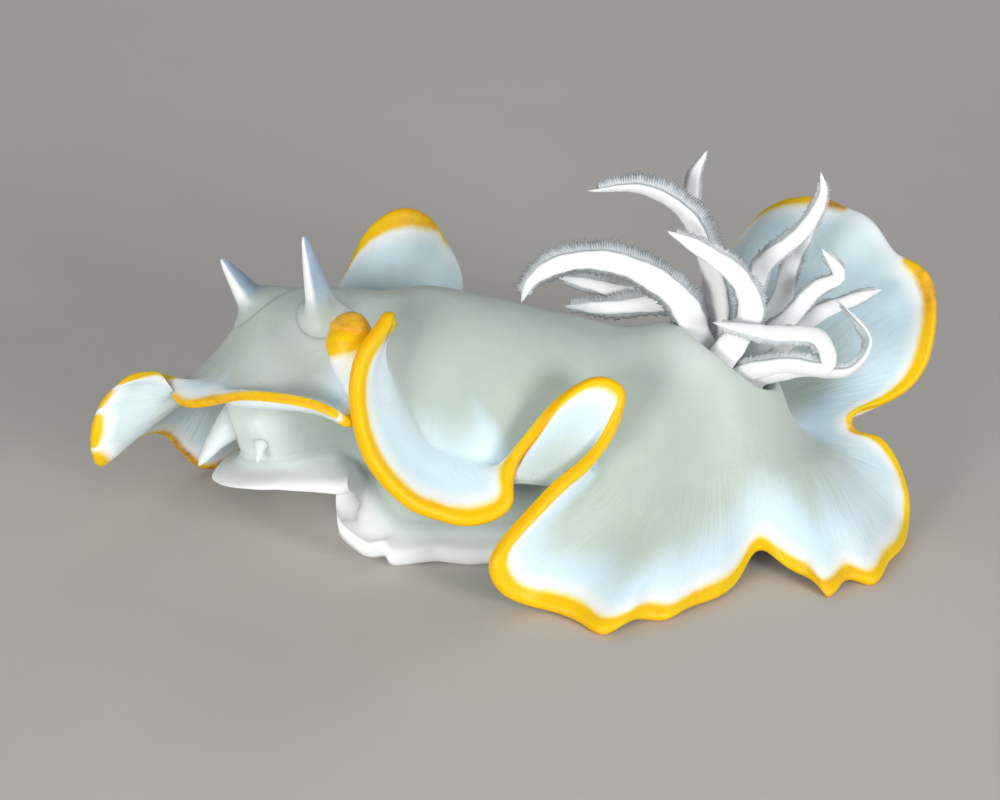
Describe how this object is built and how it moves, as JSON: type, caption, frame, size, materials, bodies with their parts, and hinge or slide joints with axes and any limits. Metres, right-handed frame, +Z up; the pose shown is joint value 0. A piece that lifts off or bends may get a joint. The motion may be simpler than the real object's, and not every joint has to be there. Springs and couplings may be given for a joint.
{
  "type": "ardeadoris egretta sea slug",
  "caption": "Still life-size model of a pale sea slug with a wide ruffled yellow-edged mantle, raised head with rhinophores, and a tuft of curling gills on the back.",
  "frame": {"origin": "on the flat of the sole, under the middle of the trunk, at floor level", "axes": "+X towards the tail, +Y towards the animal's right side, +Z up; the head is at -X and turns towards -Y"},
  "size_m": [0.1002, 0.0557, 0.0439],
  "materials": {
    "flesh": "wet gloss",
    "gill": "wet gloss"
  },
  "bodies": {
    "root": {"head": "flesh", "neck": "flesh", "trunk_mid": "flesh", "trunk_rear": "flesh", "tail": "flesh", "foot_front": "flesh", "foot_mid": "flesh", "foot_rear": "flesh", "mantle_front": "flesh", "mantle_left_pleat": "flesh", "mantle_left_lobe_upper": "flesh", "mantle_left_lobe_lower": "flesh", "mantle_left_ruffle": "flesh", "mantle_left_skirt_front": "flesh", "mantle_left_skirt_rear": "flesh", "mantle_tail_left": "flesh", "mantle_tail_end": "flesh", "mantle_rear_fan_low": "flesh", "mantle_rear_fan_top": "flesh", "mantle_rear_fan_right": "flesh", "mantle_right_skirt": "flesh", "mantle_right_lobe": "flesh", "mantle_right_front": "flesh", "mantle_right_tip": "flesh", "rhinophore_left": "flesh", "rhinophore_right": "flesh", "rhinophore_sheath_left": "flesh", "rhinophore_sheath_right": "flesh", "oral_tentacle_left": "flesh", "oral_tentacle_right": "flesh", "gill_collar": "flesh", "gill_01_root": "gill", "gill_01_tip": "gill", "gill_02_root": "gill", "gill_02_tip": "gill", "gill_03_root": "gill", "gill_03_tip": "gill", "gill_04_root": "gill", "gill_04_tip": "gill", "gill_05_root": "gill", "gill_05_tip": "gill", "gill_06_root": "gill", "gill_06_tip": "gill", "gill_07_root": "gill", "gill_07_tip": "gill", "gill_08_root": "gill", "gill_08_tip": "gill", "gill_09_root": "gill", "gill_09_tip": "gill", "gill_10_root": "gill", "gill_10_tip": "gill", "gill_11_root": "gill", "gill_11_tip": "gill", "gill_12_root": "gill", "gill_12_tip": "gill"}
  },
  "joints": []
}
